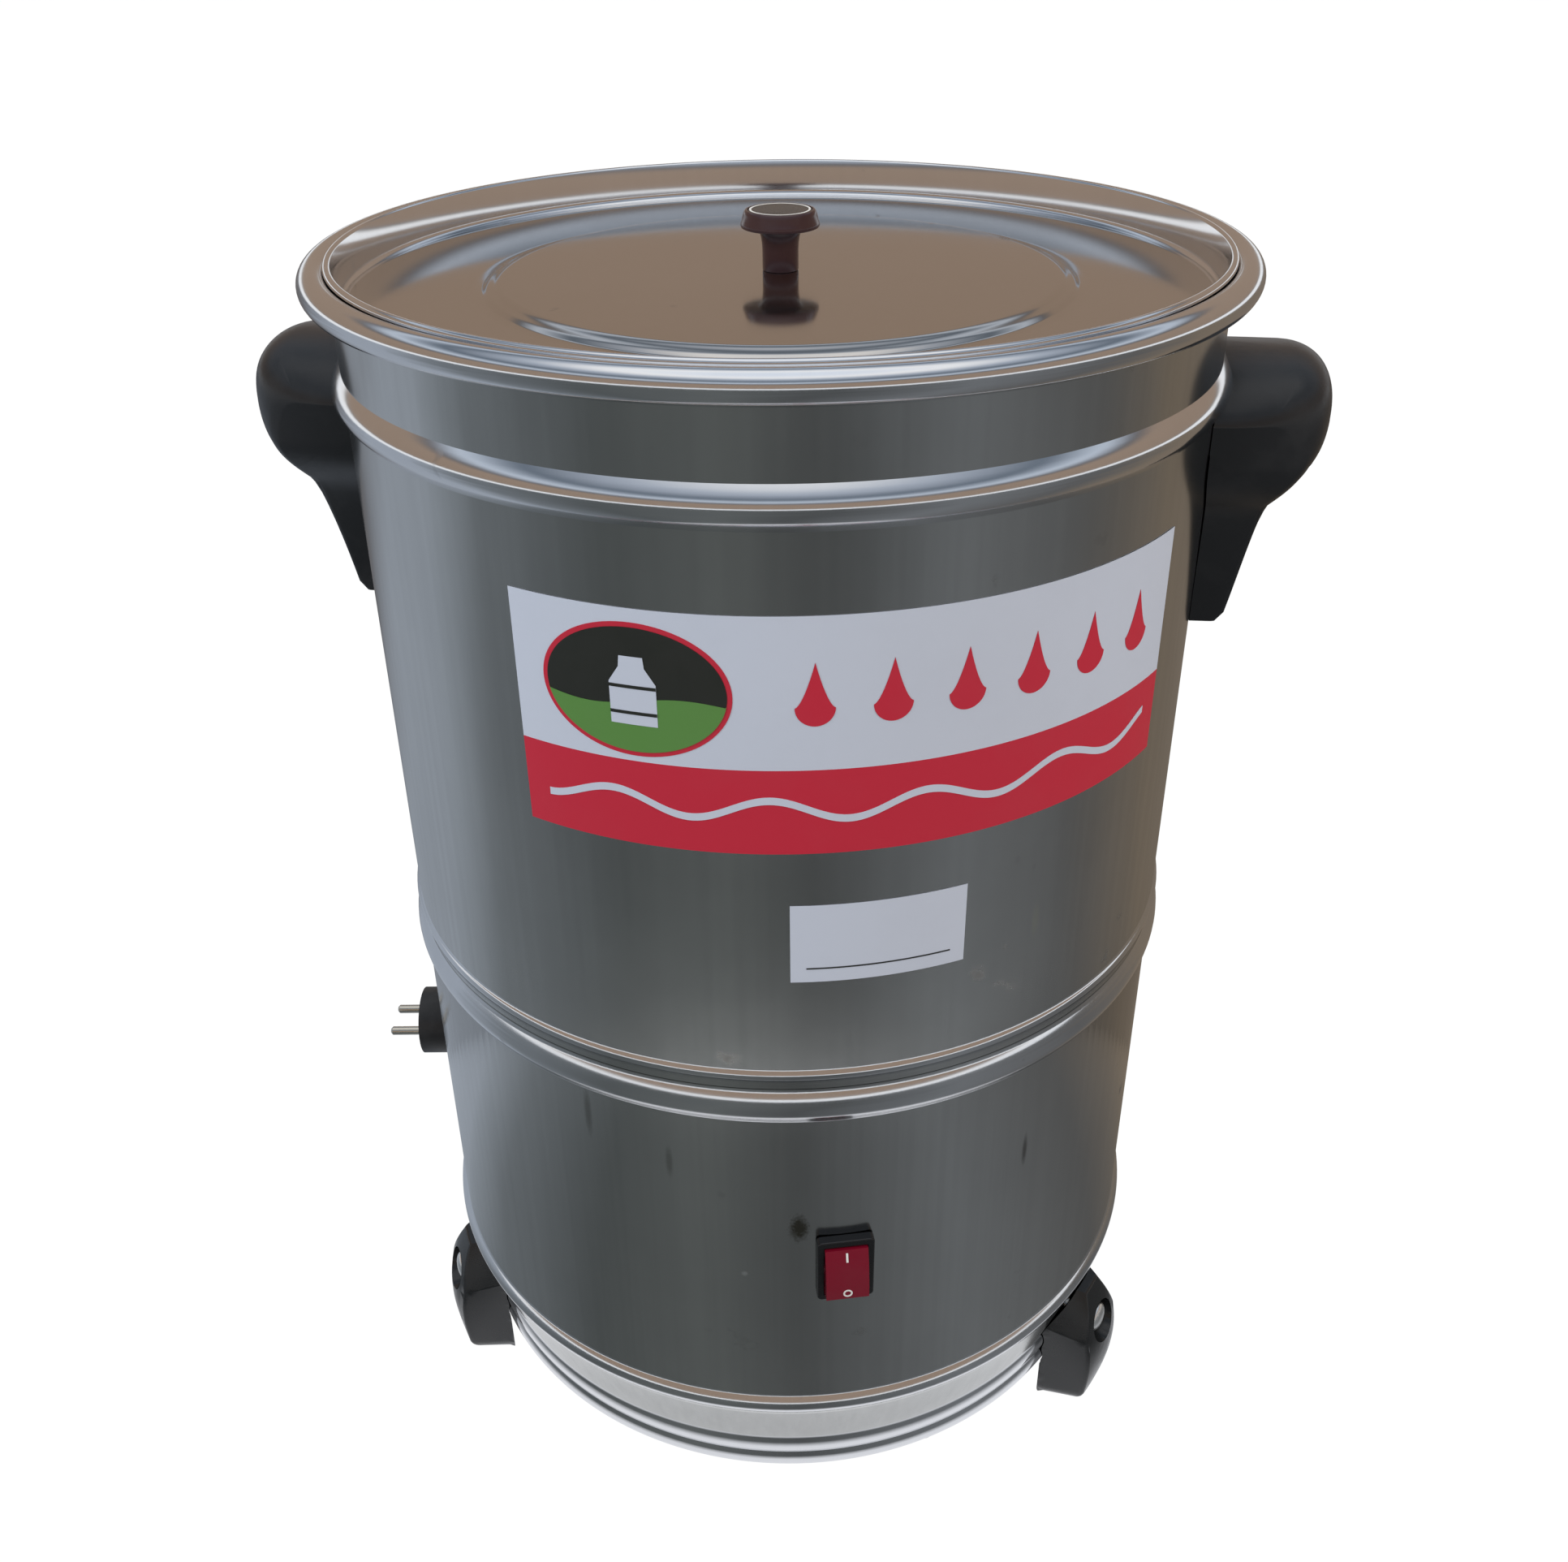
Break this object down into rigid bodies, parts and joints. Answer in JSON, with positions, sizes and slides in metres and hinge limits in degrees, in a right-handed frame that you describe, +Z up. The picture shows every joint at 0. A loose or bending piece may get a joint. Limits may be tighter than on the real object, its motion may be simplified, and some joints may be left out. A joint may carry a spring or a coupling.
{
  "type": "electric butter churn",
  "caption": "Upright electric butter churn: polished steel tank on a motor base, knobbed lid, cup side handles, moulded feet, rocker switch and cord.",
  "frame": {"origin": "on the tank's axis at floor level, under the feet", "axes": "+Z up along the tank's axis, X through the two handles, -Y the side between the front feet, with the switch a little towards +X"},
  "size_m": [0.4481, 0.3723, 0.5677],
  "materials": {
    "polished_steel": "polished, faint vertical brushing",
    "lid_steel": "mirror polished",
    "plain_steel": "bright zinc plated",
    "knob_brown": "gloss moulded phenolic",
    "cap_black": "gloss",
    "handle_black": "satin moulded",
    "foot_black": "semi gloss moulded",
    "screw_steel": "bright plated",
    "motor_grey": "laminated steel, varnished",
    "shield_alu": "die cast",
    "paddle_alu": "satin",
    "bearing_steel": "ground",
    "bush_bronze": "turned",
    "seal_rubber": "matt",
    "fan_plastic": "moulded",
    "capacitor_can": "moulded can",
    "terminal_white": "moulded",
    "switch_black": "gloss",
    "rocker_red": "gloss, tinted",
    "cord_black": "satin sheath",
    "pin_nickel": "nickel plated"
  },
  "bodies": {
    "base": {"tank_wall": "polished_steel", "tank_floor": "polished_steel", "base_shell": "polished_steel", "bottom_plate": "plain_steel", "plate_screws": "screw_steel", "handle_left": "handle_black", "handle_right": "handle_black", "handle_screws": "screw_steel", "foot_front_left": "foot_black", "foot_front_right": "foot_black", "foot_rear": "foot_black", "foot_screws": "screw_steel", "foot_nuts": "screw_steel", "seal_housing": "plain_steel", "shaft_bush": "bush_bronze", "shaft_seal": "seal_rubber", "motor_bracket": "plain_steel", "bracket_nuts": "screw_steel", "stator": "motor_grey", "shield_upper": "shield_alu", "shield_lower": "shield_alu", "motor_bolts": "screw_steel", "bearing_upper": "bearing_steel", "bearing_lower": "bearing_steel", "run_capacitor": "capacitor_can", "capacitor_clamp": "plain_steel", "terminal_block": "terminal_white", "switch_body": "switch_black", "cord_gland": "cord_black", "cord_lead": "cord_black", "cord_tail": "cord_black", "cord_coil": "cord_black", "cord_tie": "cord_black", "plug_body": "cord_black", "plug_pins": "pin_nickel"},
    "lid": {"lid": "lid_steel", "lid_knob": "knob_brown", "knob_cap": "cap_black", "knob_screw": "screw_steel"},
    "rotor": {"rotor_shaft": "plain_steel", "cooling_fan": "fan_plastic", "paddle": "paddle_alu", "paddle_nut": "screw_steel"},
    "rocker": {"switch_rocker": "rocker_red"}
  },
  "joints": [
    {"name": "lid_lift", "type": "slide", "parent": "base", "child": "lid", "axis": [0, 0, 1], "range_m": [0, 0.25]},
    {"name": "paddle_spin", "type": "hinge", "parent": "base", "child": "rotor", "pos_m": [0, 0, 0.2], "axis": [0, 0, 1], "continuous": true},
    {"name": "switch_rock", "type": "hinge", "parent": "base", "child": "rocker", "pos_m": [0.04286, -0.17189, 0.171], "axis": [0.9703, 0.2419, 0], "range_deg": [0, 20]}
  ]
}
